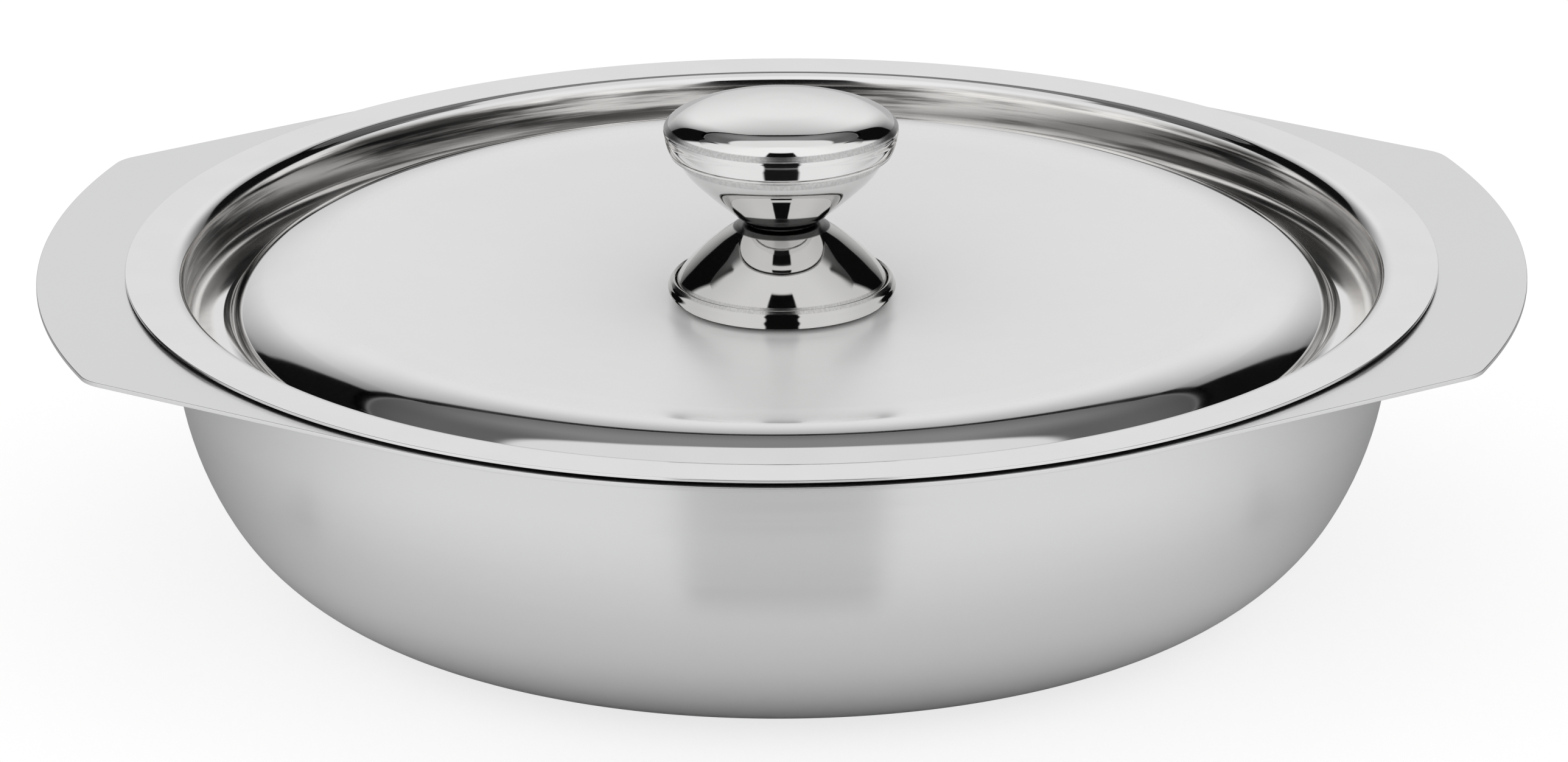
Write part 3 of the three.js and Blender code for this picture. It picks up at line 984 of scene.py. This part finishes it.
def mirrored_floor(tree):
    """Tone of the floor in the metal: a painted contact shadow, and painted shade at the foot of
    the flags and of the camera's slot.
    """
    place = tree.place()
    x, y, _ = tree.parts(place)
    from_back = tree.from_back(x, y)
    away = tree.from_axis(place)
    far = tree.ramp(away, *FLOOR_FAR)
    tone = tree.ramp(from_back, *FLOOR_SIDE_TONES)
    tone = tree.mix(tree.ramp(from_back, *FLOOR_BACK), tone, FLOOR_BACK_TONE)
    # Painted contact shadow near the object
    tone = tree.math("MULTIPLY", tone, tree.ramp(away, *FLOOR_CONTACT_SHADOW))
    # Painted reflection of the camera's slot in front, black further out
    in_front = tree.math("SUBTRACT", -FLOOR_SLOT_START * MM, y)
    slot = tree.both(
        tree.ramp(tree.math("DIVIDE", tree.math("ABSOLUTE", x), in_front), *FLOOR_SLOT_SIDES),
        tree.ramp(from_back, *FLOOR_SLOT_FRONT),
        tree.ramp(away, *FLOOR_SLOT_NEAR),
    )
    tone = tree.mix(slot, tone, tree.mix(far, *FLOOR_SLOT_TONES))
    # Painted black at the foot of the flags
    flag = tree.both(
        tree.ramp(from_back, *FLOOR_FLAG_START), tree.ramp(from_back, *FLOOR_FLAG_END), far
    )
    return tree.mix(flag, tone, FLOOR_FLAG_TONE)


def floor_material():
    """White to the camera but for the object's soft contact shadow."""
    material = bpy.data.materials.new("floor")
    tree = NodeTree(material)
    sockets = tree.nodes["Principled BSDF"].inputs
    seen = tree.seen(tree.nodes.new("ShaderNodeLightPath"))
    # Rays other than the camera's see the mirrored floor, with its painted shadow and shade
    tone = tree.mix(seen, mirrored_floor(tree), FLOOR_TONE)
    tree.put(sockets["Base Color"], tree.toned(tone, WHITE))
    sockets["Roughness"].default_value = FLOOR_ROUGHNESS
    sockets["Specular IOR Level"].default_value = 0.0
    sockets["Emission Color"].default_value = WHITE
    tree.put(sockets["Emission Strength"], tree.math("MULTIPLY", seen, FLOOR_GLOW))
    return material


def studio_floor():
    """A pale floor under the object."""
    half = FLOOR_HALF * MM
    corners = ((-half, -half, 0), (half, -half, 0), (half, half, 0), (-half, half, 0))
    mesh = bpy.data.meshes.new("floor")
    mesh.from_pydata(corners, [], [(0, 1, 2, 3)])
    obj = bpy.data.objects.new("floor", mesh)
    bpy.context.scene.collection.objects.link(obj)
    obj.data.materials.append(floor_material())


studio_world()
studio_floor()
bpy.context.scene.view_settings.view_transform = "Standard"
